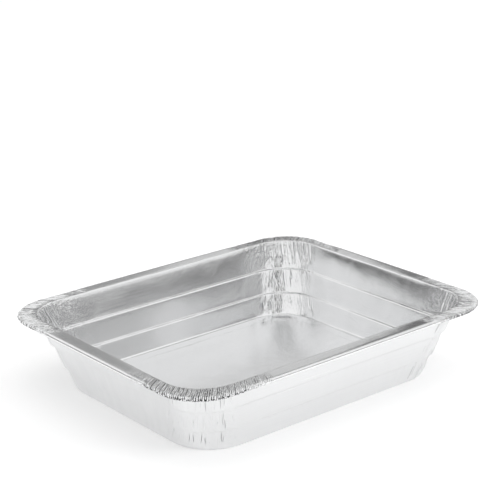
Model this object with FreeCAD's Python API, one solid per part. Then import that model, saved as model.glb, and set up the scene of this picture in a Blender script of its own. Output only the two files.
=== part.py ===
import FreeCAD, Part
import math
import os
from collections import namedtuple

# Half-size roasting pan pressed from one sheet of aluminium foil, in millimetres.
# Origin: middle of the base, on the surface that the pan stands on. +X is the long side, +Z is up.

# Outside of the rolled rim
RIM_LENGTH = 317.5
RIM_WIDTH = 266.7
PAN_HEIGHT = 63.5
RIM_CORNER_RADIUS = 38.0

# Sheet, flat flange and rolled bead
FOIL_GAUGE = 0.1
FLANGE_WIDTH = 10.0
BEAD_DIAMETER = 4.4
BEAD_STEP_DEG = 45.0
BEAD_END_DEG = -135.0

# Side wall, from the flange down to the base
WALL_CORNER_RADIUS = 34.0
WALL_RUN_IN = 19.0
FLANGE_BEND = 1.0
LEDGE_STEP = 1.8
LEDGE_RISE = 1.0
UPPER_LEDGE_HEIGHT = 38.6
LOWER_LEDGE_HEIGHT = 18.2

# Base: a ring that the pan stands on, round a floor panel that is raised a little
BASE_CORNER_RADIUS = 38.0
BASE_BEND_RADIUS = 2.2
BASE_BEND_STEPS = 2
STANDING_RING_WIDTH = 9.0
PANEL_SLOPE_RUN = 3.0
PANEL_RISE = 1.2

# Pleats that gather the spare sheet at each corner
ARC_PLEATS = 11
SIDE_PLEATS = 5
SIDE_PLEAT_PITCH = 7.5
PLEAT_LEAN = 0.7
WALL_PLEAT_DEPTH = 1.1
FLANGE_PLEAT_DEPTH = 0.35
BEAD_PLEAT_DEPTH = 0.45
PLEAT_DEPTH_SPREAD = 0.4
PLEAT_DEPTH_BEAT = 2.4
PLEAT_FOCUS = 1.5

# A quad whose fourth corner lies this close to the plane of the others is one flat face
FLATNESS = 1e-8

# Row: one line round the pan, on the underside of the sheet. inset is measured in from the outside
# of the rim, radius is that of its corners, and depth is how far its pleats stand out below it.
Row = namedtuple("Row", "inset height radius depth")

# Station: one fold line of a corner. turn is its angle round the corner, before and after are its
# distances from the ends of the arc along the straight sides, and fold is 0 on a ridge and up to 1
# in a valley.
Station = namedtuple("Station", "turn before after fold")

# Fold line of a row, placed: a point of the underside and the way out through the underside there
Anchor = namedtuple("Anchor", "point outward fold")


def flange_inset():
    return BEAD_DIAMETER / 2 + FLANGE_WIDTH + FLANGE_BEND


def base_rows():
    """Floor panel, standing ring and the bend into the wall, from the middle outwards."""
    wall_foot = flange_inset() + WALL_RUN_IN
    bend_turn = math.radians(90) - wall_draft()
    bend_foot = wall_foot + BASE_BEND_RADIUS * math.tan(bend_turn / 2)
    ring_inside = bend_foot + STANDING_RING_WIDTH
    panel_edge = ring_inside + PANEL_SLOPE_RUN
    rows = [
        Row(panel_edge, PANEL_RISE, base_radius(panel_edge), 0.0),
        Row(ring_inside, 0.0, base_radius(ring_inside), 0.0),
    ]
    for step in range(BASE_BEND_STEPS + 1):
        turn = bend_turn * step / BASE_BEND_STEPS
        inset = bend_foot - BASE_BEND_RADIUS * math.sin(turn)
        height = BASE_BEND_RADIUS * (1 - math.cos(turn))
        rows.append(Row(inset, height, base_radius(inset), 0.0))
    return rows


def wall_draft():
    """Angle of the wall's three bands from the upright, once the two ledges are taken off."""
    run = WALL_RUN_IN - 2 * LEDGE_STEP
    rise = PAN_HEIGHT - FOIL_GAUGE - FLANGE_BEND - 2 * LEDGE_RISE
    return math.atan2(run, rise)


def base_radius(inset):
    """Corner radius of a base row that runs parallel to the foot of the wall."""
    return BASE_CORNER_RADIUS - (inset - flange_inset() - WALL_RUN_IN)


def wall_row(height, ledges_below):
    """Row of the wall at a height, outside the ledges that are below it."""
    rise = height - ledges_below * LEDGE_RISE
    stepped = rise * math.tan(wall_draft()) + ledges_below * LEDGE_STEP
    share = stepped / WALL_RUN_IN
    inset = flange_inset() + WALL_RUN_IN - stepped
    radius = BASE_CORNER_RADIUS + (WALL_CORNER_RADIUS - BASE_CORNER_RADIUS) * share
    return Row(inset, height, radius, WALL_PLEAT_DEPTH * share)


def wall_rows():
    """Lower ledge, upper ledge and the top of the wall."""
    wall_top = PAN_HEIGHT - FOIL_GAUGE - FLANGE_BEND
    return [
        wall_row(LOWER_LEDGE_HEIGHT, 0),
        wall_row(LOWER_LEDGE_HEIGHT + LEDGE_RISE, 1),
        wall_row(UPPER_LEDGE_HEIGHT, 1),
        wall_row(UPPER_LEDGE_HEIGHT + LEDGE_RISE, 2),
        wall_row(wall_top, 2),
    ]


def rim_rows():
    """Flat flange and the bead that is rolled out, down and back in."""
    flange_height = PAN_HEIGHT - FOIL_GAUGE
    flange_root = flange_inset() - FLANGE_BEND
    rows = [Row(flange_root, flange_height, rim_radius(flange_root), FLANGE_PLEAT_DEPTH)]
    bead_inside = BEAD_DIAMETER / 2 - FOIL_GAUGE
    steps = round((90.0 - BEAD_END_DEG) / BEAD_STEP_DEG)
    for step in range(steps + 1):
        angle = math.radians(90.0 - BEAD_STEP_DEG * step)
        inset = BEAD_DIAMETER / 2 - bead_inside * math.cos(angle)
        height = PAN_HEIGHT - BEAD_DIAMETER / 2 + bead_inside * math.sin(angle)
        rows.append(Row(inset, height, rim_radius(inset), BEAD_PLEAT_DEPTH))
    return rows


def rim_radius(inset):
    """Corner radius of a rim row, from the outside of the bead to the top of the wall."""
    share = inset / flange_inset()
    return RIM_CORNER_RADIUS + (WALL_CORNER_RADIUS - RIM_CORNER_RADIUS) * share


def pleat_depth_share(pleat, pleats):
    """Depth of one pleat of a corner: full in the middle, none at the ends, and a little uneven."""
    swell = math.sin(math.pi * (pleat + PLEAT_LEAN) / pleats) ** PLEAT_FOCUS
    uneven = 1 - PLEAT_DEPTH_SPREAD * (0.5 + 0.5 * math.sin(PLEAT_DEPTH_BEAT * pleat))
    return swell * uneven


def corner_station(place, fold):
    """Fold line at a place counted in pleats along the corner."""
    before = max(0.0, SIDE_PLEATS - place) * SIDE_PLEAT_PITCH
    after = max(0.0, place - SIDE_PLEATS - ARC_PLEATS) * SIDE_PLEAT_PITCH
    arc_place = min(max(place - SIDE_PLEATS, 0.0), ARC_PLEATS)
    return Station(math.radians(90.0) * arc_place / ARC_PLEATS, before, after, fold)


def corner_stations():
    """Ridge and valley of every pleat of one corner, with a last ridge where the side begins."""
    pleats = ARC_PLEATS + 2 * SIDE_PLEATS
    stations = []
    for pleat in range(pleats):
        stations.append(corner_station(pleat, 0.0))
        stations.append(corner_station(pleat + PLEAT_LEAN, pleat_depth_share(pleat, pleats)))
    stations.append(corner_station(pleats, 0.0))
    return stations


def mitre(rows, index):
    """Way out through the underside at a row, in the profile, long enough to keep the gauge."""
    here = rows[index]
    sides = []
    if index > 0:
        sides.append((rows[index - 1], here))
    if index < len(rows) - 1:
        sides.append((here, rows[index + 1]))
    normals = []
    for start, end in sides:
        run = start.inset - end.inset
        rise = end.height - start.height
        length = math.hypot(run, rise)
        normals.append((rise / length, -run / length))
    out = sum(normal[0] for normal in normals) / len(normals)
    up = sum(normal[1] for normal in normals) / len(normals)
    stretch = out * out + up * up
    return out / stretch, up / stretch


def row_anchors(rows, index, stations):
    """Every fold line of a row, placed round the four corners of the pan."""
    row = rows[index]
    out, up = mitre(rows, index)
    half_length = RIM_LENGTH / 2 - row.inset
    half_width = RIM_WIDTH / 2 - row.inset
    anchors = []
    for quarter in range(4):
        turn_to_corner = math.radians(90.0) * quarter
        ahead, aside = (half_length, half_width) if quarter % 2 == 0 else (half_width, half_length)
        spin = FreeCAD.Rotation(FreeCAD.Vector(0, 0, 1), math.degrees(turn_to_corner))
        for station in stations:
            x = ahead - row.radius * (1 - math.cos(station.turn)) - station.after
            y = aside - row.radius * (1 - math.sin(station.turn)) - station.before
            point = spin.multVec(FreeCAD.Vector(x, y, row.height))
            across = FreeCAD.Vector(math.cos(station.turn), math.sin(station.turn), 0)
            outward = spin.multVec(across) * out + FreeCAD.Vector(0, 0, up)
            anchors.append(Anchor(point, outward, station.fold * row.depth))
    return anchors


def flat_faces(corners):
    """One face for a flat quad, and two for a twisted one."""
    first, second, third, fourth = corners
    normal = (second - first).cross(third - first).normalize()
    if abs((fourth - first).dot(normal)) < FLATNESS:
        return [polygon_face(corners)]
    return [polygon_face([first, second, third]), polygon_face([first, third, fourth])]


def polygon_face(corners):
    return Part.Face(Part.makePolygon(corners + [corners[0]]))


def band_faces(lower, upper):
    """Faces between two closed lines of points, with their fronts away from the sheet."""
    faces = []
    for index in range(len(lower)):
        following = (index + 1) % len(lower)
        faces += flat_faces([lower[index], lower[following], upper[following], upper[index]])
    return faces


def foil_pan():
    """The pan as one closed solid: underside, food side and the cut edge inside the bead."""
    rows = base_rows() + wall_rows() + rim_rows()
    stations = corner_stations()
    underside = []
    food_side = []
    for index in range(len(rows)):
        anchors = row_anchors(rows, index, stations)
        underside.append([a.point + a.outward * a.fold for a in anchors])
        food_side.append([a.point + a.outward * (a.fold - FOIL_GAUGE) for a in anchors])
    faces = [polygon_face(underside[0]), polygon_face(food_side[0])]
    for below, above in zip(underside, underside[1:]):
        faces += band_faces(below, above)
    for below, above in zip(food_side, food_side[1:]):
        faces += band_faces(above, below)
    faces += band_faces(underside[-1], food_side[-1])
    shell = Part.makeShell(faces)
    shell.sewShape()
    solid = Part.makeSolid(shell)
    if solid.Volume < 0:
        solid.reverse()
    return solid


def main():
    os.makedirs("parts", exist_ok=True)
    pan = foil_pan()
    pan.exportStep("parts/foil_pan.step")
    box = pan.BoundBox
    print("foil_pan faces", len(pan.Faces), "solids", len(pan.Solids), "valid", pan.isValid())
    print("size", round(box.XLength, 3), round(box.YLength, 3), round(box.ZLength, 3))
    print("lowest", round(box.ZMin, 4), "volume", round(pan.Volume, 1))


main()
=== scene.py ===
"""Looks of an open foil roasting pan: one pressed sheet with gathered corners and a rolled rim.

Lengths are in metres. The pan stands on z = 0 with its long side along X.
"""

import logging
import math
import random
from dataclasses import dataclass
from enum import Enum

import bmesh
import bpy
from mathutils import Matrix, Vector, noise


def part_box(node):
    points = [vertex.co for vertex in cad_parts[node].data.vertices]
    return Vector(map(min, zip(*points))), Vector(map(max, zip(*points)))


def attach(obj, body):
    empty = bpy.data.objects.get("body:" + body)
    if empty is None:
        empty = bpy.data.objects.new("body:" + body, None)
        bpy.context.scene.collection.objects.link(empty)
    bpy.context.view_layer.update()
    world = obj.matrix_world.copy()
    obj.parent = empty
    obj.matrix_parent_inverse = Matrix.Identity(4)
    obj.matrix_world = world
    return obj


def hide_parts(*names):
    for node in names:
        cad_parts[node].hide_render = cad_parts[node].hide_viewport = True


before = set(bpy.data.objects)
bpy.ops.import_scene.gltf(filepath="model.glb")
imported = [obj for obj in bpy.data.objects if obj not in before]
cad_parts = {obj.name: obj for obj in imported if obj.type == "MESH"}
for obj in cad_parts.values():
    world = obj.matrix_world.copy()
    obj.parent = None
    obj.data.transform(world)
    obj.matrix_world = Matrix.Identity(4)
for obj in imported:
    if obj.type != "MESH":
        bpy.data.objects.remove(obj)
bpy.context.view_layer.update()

PAN_NODE = "foil_pan"
PAN_BODY = "root"
SHEET_MAP = "flat_sheet"
FOLD_MAP = "fold_lines"
CRUMPLE_MASK = "crumple"
# Vertex attribute of painted shade inside the folds and under the bead, standing in for their shadow
PAINTED_CREASE_SHADE = "crease"
QUARTER_TURN = math.radians(90.0)
HALF_METRE = 0.5

Colour = tuple[float, float, float]
Ring = list[bmesh.types.BMVert]

log = logging.getLogger("foil_pan_scene")


class Band(Enum):
    """Stretch of the sheet between the middle of the floor and the edge inside the bead."""

    PANEL = "panel"
    RING = "ring"
    LOWER_WALL = "lower wall"
    LOWER_LEDGE = "lower ledge"
    MIDDLE_WALL = "middle wall"
    UPPER_LEDGE = "upper ledge"
    UPPER_WALL = "upper wall"
    FLANGE = "flange"
    BEAD = "bead"


class FoilSide(Enum):
    """Side of the sheet, with its material index on the pan."""

    UNDERSIDE = 0
    FOOD_SIDE = 1


@dataclass(frozen=True)
class PanSizes:
    """Sizes of the pressed pan. The overall ones come from the CAD box."""

    rim_length: float
    rim_width: float
    height: float
    gauge: float = 0.0001
    rim_corner: float = 0.038
    wall_corner: float = 0.034
    base_corner: float = 0.038
    least_corner: float = 0.00225
    bead_diameter: float = 0.0044
    bead_end_deg: float = -165.0
    flange_width: float = 0.010
    flange_bend: float = 0.001
    wall_run_in: float = 0.019
    ledge_step: float = 0.0018
    ledge_rise: float = 0.001
    lower_ledge: float = 0.0182
    upper_ledge: float = 0.0386
    ring_width: float = 0.009
    panel_rise: float = 0.0012
    panel_slope: float = 0.003

    @property
    def bead_radius(self) -> float:
        """Radius of the bead on its inside, where the underside of the sheet lies."""
        return self.bead_diameter / 2 - self.gauge

    @property
    def flange_inset(self) -> float:
        """Distance from the outside of the rim in to the top of the wall."""
        return self.bead_diameter / 2 + self.flange_width + self.flange_bend

    @property
    def wall_foot(self) -> float:
        """Distance from the outside of the rim in to the foot of the wall."""
        return self.flange_inset + self.wall_run_in

    @property
    def draft(self) -> float:
        """Lean of the wall, once its two ledges are taken off.

        Returns:
            The tangent of its angle from the upright.
        """
        run = self.wall_run_in - 2 * self.ledge_step
        rise = self.height - self.gauge - self.flange_bend - 2 * self.ledge_rise
        return run / rise

    def wall_inset(self, height: float, ledges_below: int) -> float:
        """Inset of the wall's underside at a height, above so many of its ledges."""
        rise = height - ledges_below * self.ledge_rise
        return self.wall_foot - rise * self.draft - ledges_below * self.ledge_step

    def corner_radius(self, inset: float) -> float:
        """Corner radius of the sheet in plan.

        Args:
            inset: distance in from the outside of the rim.

        Returns:
            The radius there.
        """
        if inset >= self.wall_foot:
            return max(self.base_corner - (inset - self.wall_foot), self.least_corner)
        if inset >= self.flange_inset:
            share = (self.wall_foot - inset) / self.wall_run_in
            return self.base_corner + (self.wall_corner - self.base_corner) * share
        share = inset / self.flange_inset
        return self.rim_corner + (self.wall_corner - self.rim_corner) * share


@dataclass(frozen=True)
class Row:
    """One closed line round the pan, on the underside of the sheet.

    run is its distance along the section, out and up are the way out through the underside
    there, and rise_share is how far it is through its band, from 0 to 1.
    """

    inset: float
    height: float
    radius: float
    band: Band
    run: float
    out: float
    up: float
    rise_share: float


@dataclass(frozen=True)
class Crease:
    """One fold in a band of the wall. Places run from 0 at the band's foot to 1 at its top."""

    FADE_RATE = 6.0
    FADE_POWER = 0.5

    depth: float = 0.0
    start: float = 0.0
    end: float = 1.0
    # How dark the painted shade inside the fold is
    shade: float = 1.0

    def share(self, place: float) -> float:
        """How much of the fold is left at a place, fading towards its two ends."""
        left = min(place - self.start, self.end - place) * self.FADE_RATE
        return min(max(left, 0.0), 1.0) ** self.FADE_POWER


@dataclass(frozen=True)
class Spot:
    """Where a fold line crosses a row: its place on each straight side, from -1 to 1, and its facing."""

    side_x: float
    side_y: float
    facing: Vector


@dataclass
class Station:
    """One fold line from the floor to the bead, and how it is creased.

    distance runs from the start of its corner and along from the start of the rim. gather is 0
    on a side and up to 1 in the middle of a corner. A depth below 0 is a groove.
    """

    spot: Spot
    distance: float
    along: float
    gather: float
    quarter: int
    crimp_depth: float
    on_wall: bool
    # Strength of the painted shade in the valley of this crimp
    crimp_shade: float = 0.0
    wall_creases: tuple[Crease, Crease, Crease] = (Crease(), Crease(), Crease())


@dataclass(frozen=True)
class PanProfile:
    """Section of the sheet from the middle of the floor out to the end of the bead."""

    sizes: PanSizes
    longest_step: float = 0.0036
    floor_rings: int = 9
    bend_steps: int = 4
    panel_rounding: float = 0.0008
    foot_rounding: float = 0.0018
    ledge_rounding: float = 0.0005
    top_rounding: float = 0.0011
    bead_step_deg: float = 22.5
    bead_tightening: float = 0.22

    def keys(self) -> list[tuple[Vector, float, Band]]:
        """Corners of the section from the panel's edge to the bead.

        Returns:
            For each corner: inset and height, how far its rounding reaches, and the band
            that ends there.
        """
        s = self.sizes
        flat = s.height - s.gauge
        # The bend at the wall's foot takes as much of the floor as the bead's radius
        ring_inside = s.wall_foot + s.ring_width + s.bead_radius
        lower_top = s.lower_ledge + s.ledge_rise
        upper_top = s.upper_ledge + s.ledge_rise
        return [
            (Vector((ring_inside + s.panel_slope, s.panel_rise)), self.panel_rounding, Band.PANEL),
            (Vector((ring_inside, 0.0)), self.panel_rounding, Band.RING),
            (Vector((s.wall_foot, 0.0)), self.foot_rounding, Band.RING),
            (Vector((s.wall_inset(s.lower_ledge, 0), s.lower_ledge)), self.ledge_rounding, Band.LOWER_WALL),
            (Vector((s.wall_inset(lower_top, 1), lower_top)), self.ledge_rounding, Band.LOWER_LEDGE),
            (Vector((s.wall_inset(s.upper_ledge, 1), s.upper_ledge)), self.ledge_rounding, Band.MIDDLE_WALL),
            (Vector((s.wall_inset(upper_top, 2), upper_top)), self.ledge_rounding, Band.UPPER_LEDGE),
            (Vector((s.wall_inset(flat, 2), flat)), self.top_rounding, Band.UPPER_WALL),
            (Vector((s.bead_diameter / 2, flat)), 0.0, Band.FLANGE),
        ]

    def points(self) -> list[tuple[Vector, Band]]:
        """Draws the section with its corners rounded and its long stretches divided.

        Returns:
            Each point, as inset and height, with its band.
        """
        keys = self.keys()
        line = self._floor(keys[0][0])
        for index, (corner, reach, band) in enumerate(keys):
            before = line[-1][0]
            start = corner + (before - corner).normalized() * reach
            line += self._divided(before, start, band)
            if index < len(keys) - 1:
                after, _, next_band = keys[index + 1]
                end = corner + (after - corner).normalized() * reach
                line += self._bend(start, corner, end, (band, next_band))
        return line + self._bead()

    def _floor(self, edge: Vector) -> list[tuple[Vector, Band]]:
        """Points of the floor panel.

        Args:
            edge: inset and height of the panel's edge.

        Returns:
            The points from the panel's middle to just before its edge.
        """
        middle = self.sizes.rim_width / 2 - self.sizes.ring_width
        line = []
        for ring in range(self.floor_rings):
            share = ring / self.floor_rings
            inset = middle + (edge.x + self.panel_rounding - middle) * share
            line.append((Vector((inset, edge.y)), Band.PANEL))
        return line

    def _divided(self, start: Vector, end: Vector, band: Band) -> list[tuple[Vector, Band]]:
        """Points of a straight stretch.

        Args:
            start: where it starts.
            end: where it ends.
            band: its band. The floor panel is not divided again.

        Returns:
            The points after its start.
        """
        parts = max(1, math.ceil((end - start).length / self.longest_step))
        if band is Band.PANEL:
            parts = 1
        return [(start.lerp(end, part / parts), band) for part in range(1, parts + 1)]

    def _bend(
        self, start: Vector, corner: Vector, end: Vector, bands: tuple[Band, Band]
    ) -> list[tuple[Vector, Band]]:
        """Points of a rounded corner.

        Args:
            start: where the rounding starts.
            corner: the sharp corner.
            end: where the rounding ends.
            bands: the bands before and after its middle.

        Returns:
            The points after its start.
        """
        line = []
        for step in range(1, self.bend_steps + 1):
            t = step / self.bend_steps
            point = start * (1 - t) ** 2 + corner * 2 * t * (1 - t) + end * t ** 2
            line.append((point, bands[0] if t <= 0.5 else bands[1]))
        return line

    def _bead(self) -> list[tuple[Vector, Band]]:
        """Points of the bead.

        Returns:
            The points from the flange's edge out, down and back in, rolled tighter at the end.
        """
        s = self.sizes
        centre = Vector((s.bead_diameter / 2, s.height - s.bead_diameter / 2))
        steps = round((90.0 - s.bead_end_deg) / self.bead_step_deg)
        line = []
        for step in range(1, steps + 1):
            angle = math.radians(90.0 - self.bead_step_deg * step)
            radius = s.bead_radius * (1.0 - self.bead_tightening * max(0.0, step / steps - 0.5))
            line.append((centre + Vector((-math.cos(angle), math.sin(angle))) * radius, Band.BEAD))
        return line

    def rows(self) -> list[Row]:
        """Works out the rows of the pan.

        Returns:
            The rows from the middle of the floor outwards.
        """
        points = self.points()
        runs = [0.0]
        for (here, _), (there, _) in zip(points, points[1:]):
            runs.append(runs[-1] + (there - here).length)
        spans: dict[Band, list[float]] = {}
        for run, (_, band) in zip(runs, points):
            spans.setdefault(band, []).append(run)
        rows = []
        for index, (point, band) in enumerate(points):
            before = points[max(index - 1, 0)][0]
            after = points[min(index + 1, len(points) - 1)][0]
            step = after - before
            low, high = min(spans[band]), max(spans[band])
            rows.append(
                Row(
                    inset=point.x,
                    height=point.y,
                    radius=self.sizes.corner_radius(point.x),
                    band=band,
                    run=runs[index],
                    out=step.y / step.length,
                    up=step.x / step.length,
                    rise_share=(runs[index] - low) / (high - low) if high > low else 0.5,
                )
            )
        return rows


@dataclass(frozen=True)
class CrimpSizes:
    """How the spare sheet is gathered at a corner.

    Attributes:
        shortest, longest: width of one crimp along the rim.
        side_reach: how far the crimps go on along the straight side, past the corner's arc.
        side_spacing: distance between the fold lines of a straight side.
        steps: places of the fold lines in a crimp. The first is its valley.
        ridge_step: which of them is its ridge.
        depth_low, depth_high: depth of a valley.
        slope_low, slope_high: depth between valley and ridge, as a share of the valley's.
        gather_rate: how fast the gather grows from the ends of a corner to its middle.
        least_shade: painted shade of the faintest valley.
        crease_low, crease_high: depth of a crease of the wall.
        groove_chance: share of the creases that go in, not out.
        chances: share of the lines that are creased in the lower, middle and upper wall.
        arc_shade, side_shade: how dark the painted shade of a crease is in the arc, and on the side next to
            it.
        side_depth: depth of a crease on the side, as a share of one in the arc.
        lowest_start, highest_start: where in its band a crease starts.
        lowest_end, highest_end: where in its band a crease ends.
        least_reach: how much of its band a crease takes at least.
        top_end: where a crease of the upper wall ends.
    """

    shortest: float = 0.00125
    longest: float = 0.0024
    side_reach: float = 0.040
    side_spacing: float = 0.0075
    steps: tuple[float, ...] = (0.0, 0.3, 0.56, 0.8)
    ridge_step: int = 2
    depth_low: float = 0.00025
    depth_high: float = 0.00085
    slope_low: float = 0.3
    slope_high: float = 0.6
    gather_rate: float = 4.5
    least_shade: float = 0.2
    crease_low: float = 0.00012
    crease_high: float = 0.00075
    groove_chance: float = 0.6
    chances: tuple[float, float, float] = (0.6, 0.8, 0.95)
    arc_shade: float = 0.74
    side_shade: float = 0.60
    side_depth: float = 0.45
    lowest_start: float = -0.1
    highest_start: float = 0.55
    lowest_end: float = 0.45
    highest_end: float = 1.1
    least_reach: float = 0.3
    top_end: float = 1.05


class GatheredCorners:
    """Fold lines all round the pan: close and uneven at the corners, far apart on the sides."""

    def __init__(self, sizes: PanSizes, crimps: CrimpSizes, seed: int) -> None:
        """Keeps the sizes and seeds the unevenness.

        Args:
            sizes: sizes of the pan.
            crimps: how its corners are gathered.
            seed: seed of the unevenness.
        """
        self.sizes = sizes
        self.crimps = crimps
        self.dice = random.Random(seed)
        self.arc = sizes.rim_corner * QUARTER_TURN
        self.total = self.arc + 2 * crimps.side_reach

    def stations(self) -> list[Station]:
        """Draws every fold line.

        Returns:
            The fold lines in order round the pan, starting on the +X side.
        """
        found: list[Station] = []
        along = 0.0
        for quarter in range(4):
            along = self._side(found, quarter, along)
            along = self._corner(found, quarter, along)
        return found

    def _side(self, found: list[Station], quarter: int, along: float) -> float:
        """Adds the fold lines of the straight side before a corner.

        Args:
            found: list that the fold lines are added to.
            quarter: number of the corner after the side.
            along: distance round the rim at the side's start.

        Returns:
            The distance round the rim at the side's end.
        """
        across = self.sizes.rim_width if quarter % 2 == 0 else self.sizes.rim_length
        half_core = across / 2 - self.sizes.rim_corner
        free = half_core - self.crimps.side_reach
        parts = round(2 * free / self.crimps.side_spacing)
        facing = Matrix.Rotation(QUARTER_TURN * quarter, 2) @ Vector((1.0, 0.0))
        for part in range(1, parts):
            gone = 2 * free * part / parts
            spot = self._spot(quarter, 1.0, (gone - free) / half_core, facing)
            found.append(Station(spot, 0.0, along + gone, 0.0, quarter, 0.0, True))
        return along + 2 * free

    def _corner(self, found: list[Station], quarter: int, along: float) -> float:
        """Adds the crimped fold lines of a corner.

        Args:
            found: list that the fold lines are added to.
            quarter: number of the corner.
            along: distance round the rim at the corner's start.

        Returns:
            The distance round the rim at the corner's end.
        """
        widths = []
        while sum(widths) < self.total:
            widths.append(self.dice.uniform(self.crimps.shortest, self.crimps.longest))
        stretch = self.total / sum(widths)
        place = 0.0
        for number, width in enumerate(widths):
            depth = self.dice.uniform(self.crimps.depth_low, self.crimps.depth_high)
            for step, share in enumerate(self.crimps.steps):
                distance = (place + width * share) * stretch
                valley, ridge = step == 0, step == self.crimps.ridge_step
                kept = (valley or ridge) if self._in_arc(distance) else valley and number % 2 == 0
                fold = depth * self._fold_share(valley, ridge)
                found.append(self._corner_station(quarter, distance, along, fold, kept, valley))
            place += width
        return along + self.total

    def _in_arc(self, distance: float) -> bool:
        """Whether a distance along a corner is in its arc."""
        return self.crimps.side_reach <= distance <= self.crimps.side_reach + self.arc

    def _fold_share(self, valley: bool, ridge: bool) -> float:
        """Depth of one line of a crimp, as a share of its valley's.

        Args:
            valley: whether the line is the valley.
            ridge: whether it is the ridge.

        Returns:
            The share, drawn for a line between the two.
        """
        if valley:
            return 1.0
        return 0.0 if ridge else self.dice.uniform(self.crimps.slope_low, self.crimps.slope_high)

    def _corner_station(
        self, quarter: int, distance: float, along: float, fold: float, kept: bool, valley: bool
    ) -> Station:
        """One fold line of a corner.

        Args:
            quarter: number of the corner.
            distance: how far along the corner the line is.
            along: distance round the rim at the corner's start.
            fold: depth of the crimp there.
            kept: whether the line runs down the wall as well.
            valley: whether a crease may follow it down the wall.

        Returns:
            The fold line.
        """
        ends = min(distance, self.total - distance)
        gather = min(1.0, self.crimps.gather_rate * ends / self.total)
        spot = self.corner_spot(quarter, distance)
        station = Station(spot, distance, along + distance, gather, quarter, fold * gather ** 0.5, kept)
        # Painted shade of the crimp's valley, standing in for its shadow
        if valley:
            faint = self.crimps.least_shade
            station.crimp_shade = gather ** 0.5 * (faint + (1.0 - faint) * self.dice.random())
        if valley and kept:
            station.wall_creases = self._creases(gather ** 2, self._in_arc(distance))
        return station

    def corner_spot(self, quarter: int, distance: float) -> Spot:
        """Place of a fold line of a corner.

        Args:
            quarter: number of the corner.
            distance: how far along the corner the line is at the rim.

        Returns:
            Its place and facing.
        """
        reach = self.crimps.side_reach
        across = self.sizes.rim_width if quarter % 2 == 0 else self.sizes.rim_length
        ahead = self.sizes.rim_length if quarter % 2 == 0 else self.sizes.rim_width
        turn = min(max((distance - reach) / self.arc, 0.0), 1.0) * QUARTER_TURN
        before = max(0.0, reach - distance) / (across / 2 - self.sizes.rim_corner)
        after = max(0.0, distance - reach - self.arc) / (ahead / 2 - self.sizes.rim_corner)
        facing = Matrix.Rotation(QUARTER_TURN * quarter + turn, 2) @ Vector((1.0, 0.0))
        return self._spot(quarter, 1.0 - after, 1.0 - before, facing)

    def slid(self, station: Station, slide: float) -> Spot:
        """Place of a fold line that has slid along its corner.

        Args:
            station: the fold line. One of a side stays put.
            slide: how far it slides where the corner is fully gathered.

        Returns:
            Its new place.
        """
        if station.gather == 0.0:
            return station.spot
        return self.corner_spot(station.quarter, station.distance + slide * station.gather)

    def _creases(self, gather: float, in_arc: bool) -> tuple[Crease, Crease, Crease]:
        """Folds of the lower, middle and upper wall along one line.

        Args:
            gather: how close to the middle of the gathered corner the line is, from 0 to 1.
            in_arc: whether the line is in the corner's arc.

        Returns:
            The three folds. A depth below 0 is a groove.
        """
        c = self.crimps
        folds = []
        # How dark the painted shade of the creases is
        shade = c.arc_shade if in_arc else c.side_shade
        strength = gather if in_arc else gather * c.side_depth
        for chance in c.chances:
            depth = c.crease_low + (c.crease_high - c.crease_low) * self.dice.random() ** 2
            side = -1.0 if self.dice.random() < c.groove_chance else 1.0
            start = self.dice.uniform(c.lowest_start, c.highest_start)
            end = self.dice.uniform(max(c.lowest_end, start + c.least_reach), c.highest_end)
            shown = self.dice.random() < chance * gather
            folds.append(Crease(depth * side * strength if shown else 0.0, start, end, shade))
        low, middle, high = folds
        return low, middle, Crease(high.depth, high.start, c.top_end, shade)

    def _spot(self, quarter: int, ahead: float, aside: float, facing: Vector) -> Spot:
        """Turns a place to its quarter of the pan.

        Args:
            quarter: number of the corner.
            ahead: place on the side that the quarter faces, from -1 to 1.
            aside: place on the other side, from -1 to 1.
            facing: way out of the pan there, already turned.

        Returns:
            The place.
        """
        x, y = (ahead, aside) if quarter % 2 == 0 else (aside, ahead)
        turned = {0: (x, y), 1: (-x, y), 2: (-x, -y), 3: (x, -y)}[quarter]
        return Spot(turned[0], turned[1], facing)


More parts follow.
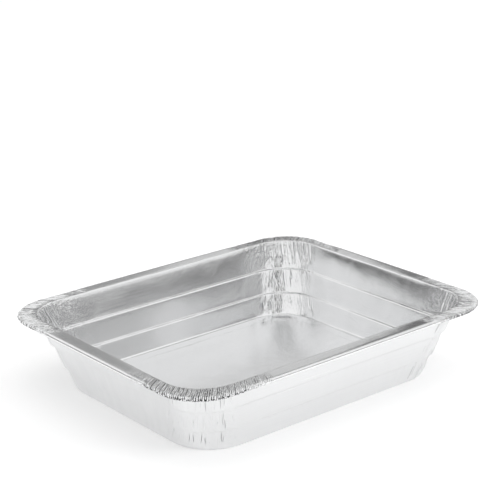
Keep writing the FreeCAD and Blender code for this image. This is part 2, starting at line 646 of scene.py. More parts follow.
class SheetRelief:
    """Height of the creases, crimps and soft dents of the sheet, out through its underside."""

    WALL_BANDS = {Band.LOWER_WALL: 0, Band.MIDDLE_WALL: 1, Band.UPPER_WALL: 2}
    RIM_BANDS = (Band.FLANGE, Band.BEAD)

    # Soft waves of the whole sheet, and the bow of its long walls
    WAVE_LENGTH = 0.055
    WAVE_DEPTH = 0.00035
    FLOOR_WAVE = 1.4
    FLOOR_WAVE_GROWTH = 4.0
    WALL_WAVE = 1.5
    RIM_WAVE = 0.4
    BOW_DEPTH = 0.0009
    CORNER_POWER = 6

    # Crimps of the flange and bead
    CRIMP_PATCH = Vector((0.0035, 0.0042))
    CRIMP_LAYER = 0.0
    CRIMP_SPREAD = 0.9
    CRIMP_GROWTH = 3.0
    GRIT_LENGTH = 0.0014
    GRIT_DEPTH = 0.00030

    # Creases of the walls
    LEDGE_SHARE = 0.25
    PUCKER_LENGTH = 0.0045
    PUCKER_DEPTH = 0.00016
    LEAN = 0.13
    SWAY = 0.0009
    SWAY_PATCH = Vector((0.0030, 0.0070))
    SWAY_LAYER = 3.0

    # Painted shade inside the folds and under the turned bead, standing in for their shadow
    CREASE_FULL = 0.0007
    FAINT_SHADE = 0.76
    CRIMP_SHADE = 3.0
    SHADE_LEVEL = 0.5
    SHADE_PATCH = Vector((0.0016, 0.0032))
    SHADE_LAYER = 7.0
    TUCK_SHADE = 2.4
    TUCK_LEVEL = 0.30
    TUCK_START = 0.18
    TUCK_GROWTH = 6.0
    TUCK_PATCH = Vector((0.0015, 0.0012))
    TUCK_LAYER = 11.0

    # Fine crumple of the walls, and how much more there is at their top
    WALL_CRUMPLE = 0.3
    TOP_CRUMPLE = 0.3

    def __init__(self, sizes: PanSizes) -> None:
        """Keeps the sizes that the bow of the walls depends on."""
        self.sizes = sizes

    def depth(self, row: Row, station: Station, point: Vector) -> float:
        """How far the underside stands out at a point.

        Args:
            row: row of the pan.
            station: fold line.
            point: place of the smooth sheet there.

        Returns:
            The distance, in metres.
        """
        if row.band is Band.RING:
            return 0.0
        wave = noise.noise(point / self.WAVE_LENGTH) * self.WAVE_DEPTH
        if row.band is Band.PANEL:
            swell = wave * self.FLOOR_WAVE * min(1.0, row.rise_share * self.FLOOR_WAVE_GROWTH)
            return max(swell, -self.sizes.panel_rise / 2)
        if row.band in self.RIM_BANDS:
            return self._crimp(row, station, point) + abs(wave) * self.RIM_WAVE
        height_share = row.height / self.sizes.height
        corner = abs(station.spot.side_x * station.spot.side_y) ** self.CORNER_POWER
        bow = -self.BOW_DEPTH * math.sin(math.pi * height_share) * (1.0 - corner)
        pucker = noise.noise(point / self.PUCKER_LENGTH) * self.PUCKER_DEPTH * station.gather
        return self._crease(row, station) + (wave * self.WALL_WAVE + bow) * height_share + pucker

    def _patchy(self, row: Row, station: Station, patch: Vector, layer: float) -> float:
        """Noise from -1 to 1 on the opened sheet, with its patch size and number of its pattern."""
        return noise.noise(Vector((station.along / patch.x, row.run / patch.y, layer)))

    def _crimp(self, row: Row, station: Station, point: Vector) -> float:
        """Depth of the crimps of the flange and bead, uneven along each of them.

        Args:
            row: row of the pan.
            station: fold line.
            point: place of the smooth sheet there.

        Returns:
            The depth, in metres.
        """
        uneven = 1.0 + self.CRIMP_SPREAD * self._patchy(row, station, self.CRIMP_PATCH, self.CRIMP_LAYER)
        grit = noise.noise(point / self.GRIT_LENGTH) * self.GRIT_DEPTH * station.gather
        share = min(1.0, row.rise_share * self.CRIMP_GROWTH) if row.band is Band.FLANGE else 1.0
        return station.crimp_depth * share * uneven + abs(grit) * share

    def _crease(self, row: Row, station: Station) -> float:
        """Depth of the wall creases, broken at the ledges.

        Args:
            row: row of the wall.
            station: fold line.

        Returns:
            The depth, in metres.
        """
        low, middle, high = station.wall_creases
        if row.band is Band.LOWER_LEDGE:
            return self.LEDGE_SHARE * (low.depth + middle.depth)
        if row.band is Band.UPPER_LEDGE:
            return self.LEDGE_SHARE * (middle.depth + high.depth)
        crease = station.wall_creases[self.WALL_BANDS[row.band]]
        return crease.depth * crease.share(row.rise_share)

    def slide(self, row: Row) -> float:
        """How far the fold lines of a corner have slid round the pan, because they lean.

        Args:
            row: row of the pan.

        Returns:
            The distance, in metres, back towards the corner's start.
        """
        if row.band in self.RIM_BANDS:
            return 0.0
        return -self.LEAN * (self.sizes.height - row.height)

    def sway(self, row: Row, station: Station) -> float:
        """How far a fold line strays to its side.

        Args:
            row: row of the pan.
            station: fold line.

        Returns:
            The distance, in metres. It is 0 off the wall and at the ends of each band.
        """
        if row.band not in self.WALL_BANDS:
            return 0.0
        ends = math.sin(math.pi * row.rise_share)
        stray = self._patchy(row, station, self.SWAY_PATCH, self.SWAY_LAYER)
        return stray * self.SWAY * station.gather * ends

    def shade(self, row: Row, station: Station) -> float:
        """How dark the painted shade inside a fold is, standing in for the fold's own shadow.

        Args:
            row: row of the pan.
            station: fold line.

        Returns:
            0 where there is no fold, and 1 or more where it is darkest.
        """
        if row.band in self.RIM_BANDS:
            level = self.SHADE_LEVEL + self._patchy(row, station, self.SHADE_PATCH, self.SHADE_LAYER)
            crimp = station.crimp_shade * self.CRIMP_SHADE * max(0.0, level)
            return max(crimp, self._tuck(row, station)) if row.band is Band.BEAD else crimp
        if row.band not in self.WALL_BANDS:
            return 0.0
        crease = station.wall_creases[self.WALL_BANDS[row.band]]
        if crease.depth == 0.0:
            return 0.0
        sharpness = min(1.0, abs(crease.depth) / self.CREASE_FULL)
        strength = self.FAINT_SHADE + (1.0 - self.FAINT_SHADE) * sharpness
        return strength * crease.share(row.rise_share) * crease.shade

    def _tuck(self, row: Row, station: Station) -> float:
        """Painted shade where the gathered bead turns under, in uneven spots, standing in for the shadow
        under the bead.

        Args:
            row: row of the bead.
            station: fold line.

        Returns:
            A shade like that of a fold.
        """
        under = min(1.0, max(0.0, (row.rise_share - self.TUCK_START) * self.TUCK_GROWTH))
        level = self.TUCK_LEVEL + self._patchy(row, station, self.TUCK_PATCH, self.TUCK_LAYER)
        return under * station.gather * self.TUCK_SHADE * max(0.0, level)

    def crumpling(self, row: Row, station: Station) -> float:
        """How finely the sheet is crumpled.

        Args:
            row: row of the pan.
            station: fold line.

        Returns:
            A share from 0 to 1.
        """
        if row.band in self.RIM_BANDS:
            return station.gather ** 0.5
        if row.band is Band.UPPER_WALL:
            return station.gather ** 2 * (self.WALL_CRUMPLE + self.TOP_CRUMPLE * row.rise_share)
        if row.band in (Band.PANEL, Band.RING):
            return 0.0
        return self.WALL_CRUMPLE * station.gather ** 2


@dataclass
class SheetLayers:
    """What each vertex of the sheet carries besides its place."""

    flat: bmesh.types.BMLayerItem
    fold: bmesh.types.BMLayerItem
    crumple: bmesh.types.BMLayerItem
    # Painted shade inside the folds, read by the material
    crease: bmesh.types.BMLayerItem


@dataclass(frozen=True)
class FoilFinish:
    """One side of the foil sheet. Its depths are those of real relief, in metres."""

    name: str
    colour: Colour
    shade: Colour
    # Colour of the painted shade inside the folds, standing in for their shadow
    fold_shade: Colour
    smooth: float
    rough: float
    grain_depth: float
    dent_depth: float
    crumple_depth: float
    fold_depth: float


SATIN_UNDERSIDE = FoilFinish(
    name="satin foil underside",
    colour=(0.865, 0.868, 0.872),
    shade=(0.78, 0.785, 0.79),
    # Painted shade of the folds
    fold_shade=(0.06, 0.06, 0.062),
    smooth=0.26,
    rough=0.42,
    grain_depth=0.000004,
    dent_depth=0.0007,
    crumple_depth=0.00035,
    fold_depth=0.0004,
)
BRIGHT_FOOD_SIDE = FoilFinish(
    name="bright foil food side",
    colour=(0.885, 0.888, 0.893),
    shade=(0.80, 0.805, 0.81),
    # Painted shade of the folds
    fold_shade=(0.07, 0.07, 0.072),
    smooth=0.17,
    rough=0.32,
    grain_depth=0.000003,
    dent_depth=0.00055,
    crumple_depth=0.00035,
    fold_depth=0.0004,
)


class NodeSheet:
    """Short way to add, set and link the nodes of one node tree."""

    def __init__(self, tree: bpy.types.NodeTree) -> None:
        """Keeps the tree."""
        self.tree = tree

    def add(self, kind: str, **values: object) -> bpy.types.Node:
        """Adds a node.

        Args:
            kind: the node's type name.
            values: its own properties, by name.

        Returns:
            The node.
        """
        node = self.tree.nodes.new(kind)
        for name, value in values.items():
            setattr(node, name, value)
        return node

    def link(self, source: bpy.types.NodeSocket, target: bpy.types.NodeSocket) -> None:
        """Links two sockets."""
        self.tree.links.new(source, target)

    def feed(self, target: bpy.types.NodeSocket, value: object) -> None:
        """Links a socket to an input, or sets the input to a number.

        Args:
            target: the input.
            value: the socket or number.
        """
        if isinstance(value, bpy.types.NodeSocket):
            self.link(value, target)
        else:
            target.default_value = value

    def math(self, operation: str, first: object, second: object = 0.0) -> bpy.types.NodeSocket:
        """Adds a math node.

        Args:
            operation: what it works out.
            first: its first value, a socket or a number.
            second: its second value.

        Returns:
            The result.
        """
        node = self.add("ShaderNodeMath", operation=operation)
        self.feed(node.inputs[0], first)
        self.feed(node.inputs[1], second)
        return node.outputs[0]

    def spread(self, value: bpy.types.NodeSocket, low: float, high: float) -> bpy.types.NodeSocket:
        """Maps a value between 0 and 1 to a range.

        Args:
            value: the value.
            low: what 0 becomes.
            high: what 1 becomes.

        Returns:
            The result.
        """
        node = self.add("ShaderNodeMapRange")
        self.link(value, node.inputs["Value"])
        node.inputs["To Min"].default_value = low
        node.inputs["To Max"].default_value = high
        return node.outputs["Result"]

    def stretched(self, vector: bpy.types.NodeSocket, scale: Colour) -> bpy.types.NodeSocket:
        """Scales coordinates.

        Args:
            vector: the coordinates.
            scale: the scale along each axis.

        Returns:
            The scaled coordinates.
        """
        node = self.add("ShaderNodeMapping")
        node.inputs["Scale"].default_value = scale
        self.link(vector, node.inputs["Vector"])
        return node.outputs[0]

    def noise(
        self, vector: bpy.types.NodeSocket, scale: object, detail: float, dimensions: str = "2D"
    ) -> bpy.types.NodeSocket:
        """Adds a noise texture.

        Args:
            vector: the coordinates that it follows.
            scale: its scale, a socket or a number.
            detail: how much finer noise is in it.
            dimensions: 2D on a map of the sheet, 3D in space.

        Returns:
            The noise, about 0 to 1.
        """
        node = self.add("ShaderNodeTexNoise", noise_dimensions=dimensions)
        node.inputs["Detail"].default_value = detail
        self.link(vector, node.inputs["Vector"])
        self.feed(node.inputs["Scale"], scale)
        return node.outputs[0]


class EffectGroup(NodeSheet):
    """A shader node group that takes coordinates and a scale and gives out values."""

    def __init__(self, name: str, scale_name: str, scale: float, outputs: list[str]) -> None:
        """Makes the group with its sockets and nothing in it.

        Args:
            name: name of the group.
            scale_name: name of its scale.
            scale: first value of its scale.
            outputs: names of its values.
        """
        super().__init__(bpy.data.node_groups.new(name, "ShaderNodeTree"))
        face = self.tree.interface
        face.new_socket("Vector", in_out="INPUT", socket_type="NodeSocketVector")
        face.new_socket(scale_name, in_out="INPUT", socket_type="NodeSocketFloat").default_value = scale
        for label in outputs:
            face.new_socket(label, in_out="OUTPUT", socket_type="NodeSocketFloat")
        inside = self.add("NodeGroupInput")
        self.vector = inside.outputs["Vector"]
        self.scale = inside.outputs[scale_name]
        self.results = self.add("NodeGroupOutput").inputs


class FoilEffects:
    """Node groups that both sides of the foil use."""

    LINES_PER_METRE = 1400.0
    LINE_STRETCH = (0.025, 1.0, 1.0)
    CLOUD_SCALE = 16.0
    GRAIN_DETAIL = 3.0
    DENT_SCALE = 30.0
    DENT_DETAIL = 1.0
    SMALL_DENT_SCALE = 5.0
    SMALL_DENT_SHARE = 0.12
    FACET_SCALE = 760.0
    FACET_STRETCH = (1.0, 0.32, 1.0)
    FACET_GRIT = 0.6
    FINE_DETAIL = 2.0

    def __init__(self) -> None:
        """Builds the groups once."""
        self.grain = self._rolling_grain()
        self.dents = self._soft_dents()
        self.crumple = self._fine_crumple()

    def _rolling_grain(self) -> bpy.types.NodeTree:
        """Fine lines that the rolling mill leaves along the sheet, in its flat map.

        Returns:
            The group.
        """
        group = EffectGroup("rolling grain", "Lines", self.LINES_PER_METRE, ["Streak", "Cloud"])
        lines = group.stretched(group.vector, self.LINE_STRETCH)
        group.link(group.noise(lines, group.scale, self.GRAIN_DETAIL), group.results["Streak"])
        cloud = group.noise(group.vector, self.CLOUD_SCALE, self.GRAIN_DETAIL)
        group.link(cloud, group.results["Cloud"])
        return group.tree

    def _soft_dents(self) -> bpy.types.NodeTree:
        """Broad shallow dents of a thin sheet that has been handled.

        Returns:
            The group.
        """
        group = EffectGroup("soft dents", "Scale", self.DENT_SCALE, ["Height"])
        broad = group.noise(group.vector, group.scale, self.DENT_DETAIL, "3D")
        finer = group.math("MULTIPLY", group.scale, self.SMALL_DENT_SCALE)
        small = group.noise(group.vector, finer, self.FINE_DETAIL, "3D")
        total = group.math("ADD", broad, group.math("MULTIPLY", small, self.SMALL_DENT_SHARE))
        group.link(total, group.results["Height"])
        return group.tree

    def _fine_crumple(self) -> bpy.types.NodeTree:
        """Small sharp facets of foil that has been gathered, drawn out along its fold lines.

        Returns:
            The group.
        """
        group = EffectGroup("fine crumple", "Scale", self.FACET_SCALE, ["Height"])
        cells = group.add("ShaderNodeTexVoronoi", feature="F1", voronoi_dimensions="2D")
        group.link(group.stretched(group.vector, self.FACET_STRETCH), cells.inputs["Vector"])
        group.link(group.scale, cells.inputs["Scale"])
        grit = group.noise(group.vector, group.scale, self.FINE_DETAIL)
        total = group.math("ADD", cells.outputs["Distance"], group.math("MULTIPLY", grit, self.FACET_GRIT))
        group.link(total, group.results["Height"])
        return group.tree


class FoilMaterial:
    """Material of one side of the foil."""

    # Where the crease attribute starts to give painted shade, and where that shade is full
    FOLD_START = 0.45
    FOLD_FULL = 1.0
    STREAK_WEAR = 1.2
    CRUMPLE_WEAR = 0.15

    def __init__(self, finish: FoilFinish, effects: FoilEffects) -> None:
        """Keeps the finish and the shared groups."""
        self.finish = finish
        self.effects = effects

    def build(self) -> bpy.types.Material:
        """Builds the material.

        Returns:
            The finished material.
        """
        material = bpy.data.materials.new(self.finish.name)
        material.use_nodes = True
        sheet = NodeSheet(material.node_tree)
        shader = material.node_tree.nodes["Principled BSDF"]
        shader.inputs["Metallic"].default_value = 1.0
        flat_map = sheet.add("ShaderNodeUVMap", uv_map=SHEET_MAP)
        grain = self._group(sheet, self.effects.grain, flat_map.outputs[0])
        crumpled = sheet.add("ShaderNodeAttribute", attribute_name=CRUMPLE_MASK).outputs["Fac"]
        # fold is the painted shade inside the folds, standing in for their shadow
        fold = self._fold_shade_mask(sheet)
        streak = sheet.math("MULTIPLY", grain.outputs["Streak"], grain.outputs["Cloud"])
        lined = sheet.math("MULTIPLY", streak, self.STREAK_WEAR)
        worn = sheet.math("ADD", lined, sheet.math("MULTIPLY", crumpled, self.CRUMPLE_WEAR))
        sheet.link(self._colour(sheet, worn, fold), shader.inputs["Base Color"])
        sheet.link(sheet.spread(worn, self.finish.smooth, self.finish.rough), shader.inputs["Roughness"])
        normal = self._normal(sheet, grain.outputs["Streak"], crumpled, fold)
        sheet.link(normal, shader.inputs["Normal"])
        return material

    def _fold_shade_mask(self, sheet: NodeSheet) -> bpy.types.NodeSocket:
        """Where painted shade darkens the inside of a fold, standing in for the fold's shadow.

        Args:
            sheet: nodes of the material.

        Returns:
            A value from 0 to 1.
        """
        crease = sheet.add("ShaderNodeAttribute", attribute_name=PAINTED_CREASE_SHADE)
        fold = sheet.add("ShaderNodeMapRange", interpolation_type="SMOOTHSTEP")
        fold.inputs["From Min"].default_value = self.FOLD_START
        fold.inputs["From Max"].default_value = self.FOLD_FULL
        sheet.link(crease.outputs["Fac"], fold.inputs["Value"])
        return fold.outputs["Result"]

    def _colour(
        self, sheet: NodeSheet, worn: bpy.types.NodeSocket, fold: bpy.types.NodeSocket
    ) -> bpy.types.NodeSocket:
        """Colour of the foil, duller where it is worn, with painted shade inside the folds.

        Args:
            sheet: nodes of the material.
            worn: where the sheet is worn.
            fold: where painted shade darkens the inside of a fold.

        Returns:
            The colour.
        """
        tint = self._mix(sheet, self.finish.colour, self.finish.shade, worn)
        folded = self._mix(sheet, self.finish.colour, self.finish.fold_shade, fold)
        sheet.link(tint.outputs["Result"], folded.inputs["A"])
        return folded.outputs["Result"]

    def _mix(
        self, sheet: NodeSheet, first: Colour, second: Colour, factor: bpy.types.NodeSocket
    ) -> bpy.types.Node:
        """Adds a mix of two colours.

        Args:
            sheet: nodes of the material.
            first: colour where the factor is 0.
            second: colour where it is 1.
            factor: the factor.

        Returns:
            The mix.
        """
        mix = sheet.add("ShaderNodeMix", data_type="RGBA")
        mix.inputs["A"].default_value = (*first, 1.0)
        mix.inputs["B"].default_value = (*second, 1.0)
        sheet.link(factor, mix.inputs["Factor"])
        return mix

    def _group(
        self, sheet: NodeSheet, tree: bpy.types.NodeTree, vector: bpy.types.NodeSocket
    ) -> bpy.types.Node:
        """Places a shared group.

        Args:
            sheet: nodes of the material.
            tree: the group.
            vector: the coordinates that it follows.

        Returns:
            The group's node.
        """
        node = sheet.add("ShaderNodeGroup", node_tree=tree)
        sheet.link(vector, node.inputs["Vector"])
        return node

    def _normal(
        self,
        sheet: NodeSheet,
        streak: bpy.types.NodeSocket,
        crumpled: bpy.types.NodeSocket,
        fold: bpy.types.NodeSocket,
    ) -> bpy.types.NodeSocket:
        """Fine relief of the foil: soft dents, rolled lines, small facets and sunk folds.

        Args:
            sheet: nodes of the material.
            streak: the rolled lines.
            crumpled: where the sheet is crumpled.
            fold: where painted shade darkens the inside of a fold; the folds are also sunk there.

        Returns:
            The normal.
        """
        place = sheet.add("ShaderNodeTexCoord")
        fold_map = sheet.add("ShaderNodeUVMap", uv_map=FOLD_MAP)
        dents = self._group(sheet, self.effects.dents, place.outputs["Object"])
        facets = self._group(sheet, self.effects.crumple, fold_map.outputs[0])
        crushed = sheet.math("MULTIPLY", facets.outputs["Height"], crumpled)
        sunk = sheet.math("SUBTRACT", 1.0, fold)
        normal = self._bump(sheet, dents.outputs["Height"], self.finish.dent_depth, None)
        normal = self._bump(sheet, streak, self.finish.grain_depth, normal)
        normal = self._bump(sheet, crushed, self.finish.crumple_depth, normal)
        return self._bump(sheet, sunk, self.finish.fold_depth, normal)

    def _bump(
        self,
        sheet: NodeSheet,
        height: bpy.types.NodeSocket,
        depth: float,
        normal: bpy.types.NodeSocket | None,
    ) -> bpy.types.NodeSocket:
        """Adds a bump on top of another.

        Args:
            sheet: nodes of the material.
            height: its height, from 0 to 1.
            depth: its real depth.
            normal: the normal of the bump below it, if there is one.

        Returns:
            The normal of both.
        """
        bump = sheet.add("ShaderNodeBump")
        bump.inputs["Distance"].default_value = depth
        sheet.link(height, bump.inputs["Height"])
        if normal is not None:
            sheet.link(normal, bump.inputs["Normal"])
        return bump.outputs["Normal"]


@dataclass
class FoilPan:
    """The pan: its mesh, its maps of the sheet and its two finishes."""

    SHARP_ANGLE = math.radians(24.0)
    FLAT_PLACE = "flat_place"
    FOLD_PLACE = "fold_place"

    sizes: PanSizes
    crimps: CrimpSizes = CrimpSizes()
    seed: int = 41
    underside: FoilFinish = SATIN_UNDERSIDE
    food_side: FoilFinish = BRIGHT_FOOD_SIDE

    def __post_init__(self) -> None:
        """Works out the rows and the fold lines."""
        self.rows = PanProfile(self.sizes).rows()
        self.corners = GatheredCorners(self.sizes, self.crimps, self.seed)
        self.stations = self.corners.stations()
        self.wall_stations = [station for station in self.stations if station.on_wall]
        self.relief = SheetRelief(self.sizes)

    def smooth_point(self, row: Row, spot: Spot) -> Vector:
        """Place where a fold line crosses a row, on the sheet before it is creased.

        Args:
            row: row of the pan.
            spot: place of the fold line.

        Returns:
            The point.
        """
        core_x = self.sizes.rim_length / 2 - row.inset - row.radius
        core_y = self.sizes.rim_width / 2 - row.inset - row.radius
        x = spot.side_x * core_x + spot.facing.x * row.radius
        y = spot.side_y * core_y + spot.facing.y * row.radius
        return Vector((x, y, row.height))

    def place(self, row: Row, station: Station) -> Vector:
        """Place where a fold line crosses a row, on the creased sheet.

        Args:
            row: row of the pan.
            station: fold line.

        Returns:
            The point, kept between the base and the top of the pan.
        """
        spot = self.corners.slid(station, self.relief.slide(row))
        point = self.smooth_point(row, spot)
        depth = self.relief.depth(row, station, point)
        across = Vector((spot.facing.x * row.out, spot.facing.y * row.out, row.up))
        aside = Vector((-spot.facing.y, spot.facing.x, 0.0))
        point += across * depth + aside * self.relief.sway(row, station)
        point.z = min(max(point.z, 0.0), self.sizes.height - self.sizes.gauge)
        return point

    def build(self) -> bpy.types.Object:
        """Builds the pan's mesh and gives it its thickness.

        Returns:
            The pan as one object.
        """
        bm = bmesh.new()
        layers = SheetLayers(
            flat=bm.verts.layers.float_vector.new(self.FLAT_PLACE),
            fold=bm.verts.layers.float_vector.new(self.FOLD_PLACE),
            crumple=bm.verts.layers.float.new(CRUMPLE_MASK),
            crease=bm.verts.layers.float.new(PAINTED_CREASE_SHADE),
        )
        self._press(bm, layers)
        self._write_map(bm, layers.flat, SHEET_MAP)
        self._write_map(bm, layers.fold, FOLD_MAP)
        for name in (self.FLAT_PLACE, self.FOLD_PLACE):
            bm.verts.layers.float_vector.remove(bm.verts.layers.float_vector[name])
        bmesh.ops.recalc_face_normals(bm, faces=bm.faces)
        mesh = bpy.data.meshes.new(PAN_NODE + "_sheet")
        bm.to_mesh(mesh)
        bm.free()
        if mesh.polygons[0].normal.z > 0:
            mesh.flip_normals()
        mesh.shade_smooth()
        mesh.set_sharp_from_angle(angle=self.SHARP_ANGLE)
        pan = bpy.data.objects.new("pressed_foil_pan", mesh)
        bpy.context.scene.collection.objects.link(pan)
        wall = pan.modifiers.new("gauge", "SOLIDIFY")
        wall.thickness = self.sizes.gauge
        wall.offset = -1.0
        wall.material_offset = FoilSide.FOOD_SIDE.value
        return pan

    def dress(self, pan: bpy.types.Object) -> None:
        """Gives the pan its finishes, in the order of FoilSide.

        Args:
            pan: the pan's object.
        """
        effects = FoilEffects()
        for finish in (self.underside, self.food_side):
            pan.data.materials.append(FoilMaterial(finish, effects).build())

    def _press(self, bm: bmesh.types.BMesh, layers: SheetLayers) -> None:
        """Forms the sheet ring by ring, from the middle of the floor to the end of the bead.

        Args:
            bm: empty mesh that the sheet is made in.
            layers: what its vertices carry.
        """
        made = bmesh.ops.create_circle(bm, cap_ends=True, segments=len(self.wall_stations), radius=1.0)
        ring = self._in_order(made["verts"])
        lined_up = self.wall_stations
        self._lay(ring, self.rows[0], lined_up, layers)
        for below, row in zip(self.rows, self.rows[1:]):
            if row.band is Band.FLANGE and lined_up is self.wall_stations:
                ring = self._split_ring(ring)
                lined_up = self.stations
                self._lay(ring, below, lined_up, layers)
            ring = self._extrude(bm, ring)
            self._lay(ring, row, lined_up, layers)

    def _in_order(self, verts: Ring) -> Ring:
        """Walks round a ring by its edges.

        Args:
            verts: the ring's vertices in any order.

        Returns:
            The vertices counter-clockwise from the first.
        """
        start = verts[0]
        ring = [start]
        outline = set(verts)
        following = [e.other_vert(start) for e in start.link_edges if e.other_vert(start) in outline]
        turn = start.co.to_2d().normalized()
        following.sort(key=lambda v: turn.x * v.co.y - turn.y * v.co.x, reverse=True)
        here = following[0]
        before = start
        while here is not start:
            ring.append(here)
            onward = [e.other_vert(here) for e in here.link_edges if e.other_vert(here) in outline]
            here, before = next(v for v in onward if v is not before), here
        return ring

    def _lay(self, ring: Ring, row: Row, stations: list[Station], layers: SheetLayers) -> None:
        """Puts a ring's vertices on their row, with all that they carry.

        Args:
            ring: the vertices in order.
            row: their row.
            stations: their fold lines.
            layers: what they carry.
        """
        for vert, station in zip(ring, stations):
            vert.co = self.place(row, station)
            middle = self.smooth_point(self.rows[0], station.spot)
            spread = station.spot.facing * row.run
            vert[layers.flat] = (middle.x + spread.x, middle.y + spread.y, 0.0)
            vert[layers.fold] = (station.along, row.run, 0.0)
            vert[layers.crumple] = self.relief.crumpling(row, station)
            # Painted shade inside the folds and under the bead, for the material
            vert[layers.crease] = self.relief.shade(row, station)

    def _extrude(self, bm: bmesh.types.BMesh, ring: Ring) -> Ring:
        """Extrudes a ring's edges.

        Args:
            bm: mesh of the sheet.
            ring: the vertices in order.

        Returns:
            The new ring, in the same order.
        """
        made = bmesh.ops.extrude_edge_only(bm, edges=self._ring_edges(ring))
        fresh = {item for item in made["geom"] if isinstance(item, bmesh.types.BMVert)}
        return [next(e.other_vert(v) for e in v.link_edges if e.other_vert(v) in fresh) for v in ring]

    def _ring_edges(self, ring: Ring) -> list[bmesh.types.BMEdge]:
        """Finds the edges between the neighbours of a ring.

        Args:
            ring: the vertices in order.

        Returns:
            The edges in order.
        """
        edges = []
        for here, there in zip(ring, ring[1:] + ring[:1]):
            edges.append(next(e for e in here.link_edges if e.other_vert(here) is there))
        return edges

    def _split_ring(self, ring: Ring) -> Ring:
        """Divides a ring's edges where the rim has more fold lines than the wall.

        Args:
            ring: the vertices on the wall's fold lines, in order.

        Returns:
            The vertices on all fold lines, in order.
        """
        places = [index for index, station in enumerate(self.stations) if station.on_wall]
        ends = places[1:] + [places[0] + len(self.stations)]
        dense = []
        for here, there, place, end in zip(ring, ring[1:] + ring[:1], places, ends):
            dense.append(here)
            for _ in range(end - place - 1):
                edge = next(e for e in here.link_edges if e.other_vert(here) is there)
                _, here = bmesh.utils.edge_split(edge, here, 0.5)
                dense.append(here)
        return dense

    def _write_map(self, bm: bmesh.types.BMesh, place: bmesh.types.BMLayerItem, name: str) -> None:
        """Writes a place that each vertex carries to a UV map.

        Args:
            bm: mesh of the sheet.
            place: layer of the place.
            name: name of the map.
        """
        uv = bm.loops.layers.uv.new(name)
        for face in bm.faces:
            for loop in face.loops:
                loop[uv].uv = loop.vert[place].xy


@dataclass(frozen=True)
class PhotoCamera:
    """Camera at the photograph's viewing angle, from the rim and base of the pan in it."""

    azimuth_deg: float = -38.36
    elevation_deg: float = 18.22
    roll_deg: float = -1.74
    target: tuple[float, float, float] = (0.0006, -0.0045, 0.1124)
    distance: float = 1.2103
    focal_pixels: float = 1474.9
    frame_pixels: float = 500.0
    sensor: float = 36.0

    def build(self) -> bpy.types.Object:
        """Makes the camera the scene's own.

        Returns:
            The camera.
        """
        azimuth, elevation = math.radians(self.azimuth_deg), math.radians(self.elevation_deg)
        level = math.cos(elevation)
        back = Vector((math.sin(azimuth) * level, -math.cos(azimuth) * level, math.sin(elevation)))
        lens = bpy.data.cameras.new("photo camera")
        lens.sensor_width = self.sensor
        lens.lens = self.focal_pixels * self.sensor / self.frame_pixels
        camera = bpy.data.objects.new("photo camera", lens)
        look = (-back).to_track_quat("-Z", "Y").to_matrix()
        roll = Matrix.Rotation(math.radians(self.roll_deg), 3, "Z")
        place = Vector(self.target) + back * self.distance
        camera.matrix_world = Matrix.Translation(place) @ (look @ roll).to_4x4()
        bpy.context.scene.collection.objects.link(camera)
        bpy.context.scene.camera = camera
        return camera


@dataclass(frozen=True)
class Softbox:
    """One large square lamp. Reflections don't show it."""

    name: str
    place: tuple[float, float, float]
    size: float
    power: float


@dataclass(frozen=True)
class Flag:
    """One dark or grey upright card that only reflections show.

    Its azimuth is that of its middle round the pan, and bottom and top are its heights.
    """

    name: str
    azimuth_deg: float
    distance: float
    width: float
    bottom: float
    top: float
    grey: float


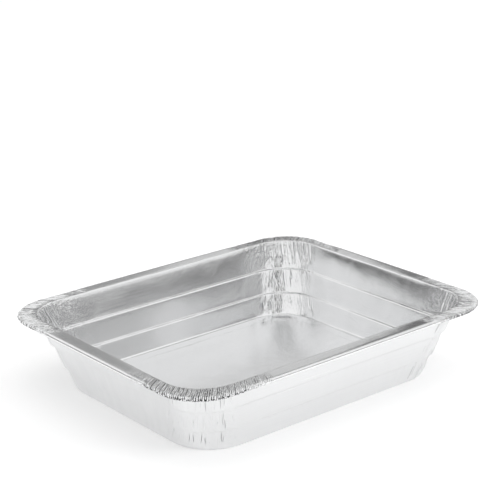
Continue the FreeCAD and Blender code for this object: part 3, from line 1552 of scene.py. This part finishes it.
@dataclass(frozen=True)
class Studio:
    """Pale floor, white surroundings, soft lamps, and cards for the foil to reflect."""

    lamps: tuple[Softbox, ...] = (
        Softbox("overhead_softbox", (-0.1, -0.1, 1.9), 1.6, 5.0),
        Softbox("right_softbox", (1.1, -1.9, 1.3), 1.2, 17.0),
    )
    flags: tuple[Flag, ...] = (
        Flag("flag_left_back", 128.0, 0.95, 1.3, 0.0, 0.24, 0.02),
        Flag("flag_right_front", 308.0, 1.05, 1.3, 0.0, 0.24, 0.04),
        Flag("flag_front", 245.0, 1.9, 1.6, 0.0, 0.45, 0.03),
        Flag("flag_back", 55.0, 2.1, 1.6, 0.0, 0.36, 0.03),
        Flag("card_back", 52.0, 2.0, 2.6, 0.36, 1.9, 0.74),
        Flag("tall_flag_back", 66.0, 1.6, 0.45, 0.40, 1.0, 0.35),
        Flag("tall_flag_back_left", 38.0, 1.6, 0.22, 0.40, 1.2, 0.12),
        Flag("tall_flag_front", 248.0, 1.7, 0.5, 0.30, 1.5, 0.05),
        Flag("tall_flag_left", 158.0, 1.6, 0.4, 0.30, 1.4, 0.05),
        Flag("tall_flag_right", 340.0, 1.6, 0.5, 0.30, 1.3, 0.05),
        Flag("high_flag_back", 52.0, 0.55, 1.1, 0.72, 1.15, 0.03),
        Flag("high_flag_front", 232.0, 0.30, 0.9, 0.95, 1.70, 0.05),
    )
    floor_size: float = 16.0
    floor_grey: float = 0.90
    floor_roughness: float = 0.9
    floor_glow: float = 0.29
    ambient: float = 0.75

    def build(self) -> None:
        """Builds the whole studio."""
        self._floor()
        self._surroundings()
        for lamp in self.lamps:
            self._lamp(lamp)
        for flag in self.flags:
            self._card(flag)

    def _floor(self) -> None:
        """A wide pale floor that keeps the pan's shadow."""
        bm = bmesh.new()
        bmesh.ops.create_grid(bm, x_segments=1, y_segments=1, size=self.floor_size / 2)
        material = self._matt("pale floor", self.floor_grey, self.floor_roughness)
        sheet = NodeSheet(material.node_tree)
        shader = material.node_tree.nodes["Principled BSDF"]
        shader.inputs["Emission Color"].default_value = (1.0, 1.0, 1.0, 1.0)
        glow = sheet.math("MULTIPLY", self._seen_rays(sheet), self.floor_glow)
        sheet.link(glow, shader.inputs["Emission Strength"])
        self._staged("studio_floor", bm, material)

    def _card(self, flag: Flag) -> None:
        """Puts up a card that shows only in reflections.

        Args:
            flag: the card.
        """
        bm = bmesh.new()
        bmesh.ops.create_grid(bm, x_segments=1, y_segments=1, size=HALF_METRE)
        upright = Matrix.Rotation(QUARTER_TURN, 3, "Y")
        turn = Matrix.Rotation(math.radians(flag.azimuth_deg), 3, "Z")
        middle = (flag.distance, 0.0, (flag.top + flag.bottom) / 2)
        bmesh.ops.rotate(bm, verts=bm.verts, cent=(0, 0, 0), matrix=upright)
        bmesh.ops.scale(bm, verts=bm.verts, vec=(1.0, flag.width, flag.top - flag.bottom))
        bmesh.ops.translate(bm, verts=bm.verts, vec=middle)
        bmesh.ops.rotate(bm, verts=bm.verts, cent=(0, 0, 0), matrix=turn)
        card = self._staged(flag.name, bm, self._matt(flag.name, flag.grey, 1.0))
        card.visible_camera = False
        card.visible_diffuse = False
        card.visible_shadow = False

    def _matt(self, name: str, grey: float, roughness: float) -> bpy.types.Material:
        """Makes a plain material with no gloss.

        Args:
            name: its name.
            grey: its grey, from 0 to 1.
            roughness: its roughness.

        Returns:
            The material.
        """
        material = bpy.data.materials.new(name)
        material.use_nodes = True
        shader = material.node_tree.nodes["Principled BSDF"]
        shader.inputs["Base Color"].default_value = (grey, grey, grey, 1.0)
        shader.inputs["Roughness"].default_value = roughness
        shader.inputs["Specular IOR Level"].default_value = 0.0
        return material

    def _staged(
        self, name: str, bm: bmesh.types.BMesh, material: bpy.types.Material
    ) -> bpy.types.Object:
        """Makes an object of the studio from a bmesh, and frees the bmesh.

        Args:
            name: name of the object.
            bm: its mesh.
            material: its material.

        Returns:
            The object.
        """
        mesh = bpy.data.meshes.new(name)
        bm.to_mesh(mesh)
        bm.free()
        mesh.materials.append(material)
        item = bpy.data.objects.new(name, mesh)
        bpy.context.scene.collection.objects.link(item)
        return item

    def _seen_rays(self, sheet: NodeSheet) -> bpy.types.NodeSocket:
        """Tells the rays that show a surface from those that light it.

        Args:
            sheet: nodes of the material or world.

        Returns:
            1 for a ray from the camera, a reflection or a see-through surface, or else 0.
        """
        path = sheet.add("ShaderNodeLightPath")
        seen = sheet.math("MAXIMUM", path.outputs["Is Camera Ray"], path.outputs["Is Glossy Ray"])
        return sheet.math("MAXIMUM", seen, path.outputs["Is Transmission Ray"])

    def _surroundings(self) -> None:
        """White background for what is seen, and a plain pale light for the rest."""
        world = bpy.data.worlds.new("white studio")
        world.use_nodes = True
        bpy.context.scene.world = world
        sheet = NodeSheet(world.node_tree)
        background = world.node_tree.nodes["Background"]
        background.inputs["Color"].default_value = (1.0, 1.0, 1.0, 1.0)
        strength = sheet.spread(self._seen_rays(sheet), self.ambient, 1.0)
        sheet.link(strength, background.inputs["Strength"])

    def _lamp(self, lamp: Softbox) -> None:
        """Puts up a lamp that faces the pan.

        Args:
            lamp: the lamp.
        """
        data = bpy.data.lights.new(lamp.name, "AREA")
        data.size = lamp.size
        data.energy = lamp.power
        light = bpy.data.objects.new(lamp.name, data)
        light.visible_glossy = False
        light.location = lamp.place
        light.rotation_euler = (-Vector(lamp.place)).to_track_quat("-Z", "Y").to_euler()
        bpy.context.scene.collection.objects.link(light)


def main() -> None:
    """Builds the pan and its studio, and reports each piece."""
    logging.basicConfig(level=logging.INFO, format="%(name)s: %(message)s")
    low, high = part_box(PAN_NODE)
    sizes = PanSizes(rim_length=high.x - low.x, rim_width=high.y - low.y, height=high.z - low.z)
    foil_pan = FoilPan(sizes)
    pan = foil_pan.build()
    foil_pan.dress(pan)
    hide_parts(PAN_NODE)
    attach(pan, PAN_BODY)
    log.info("%s: %d rows, %d fold lines", pan.name, len(foil_pan.rows), len(foil_pan.stations))
    studio = Studio()
    studio.build()
    log.info("studio: %d lamps, %d cards", len(studio.lamps), len(studio.flags))
    PhotoCamera().build()
    bpy.context.scene.view_settings.view_transform = "Standard"


if __name__ == "__main__":
    main()
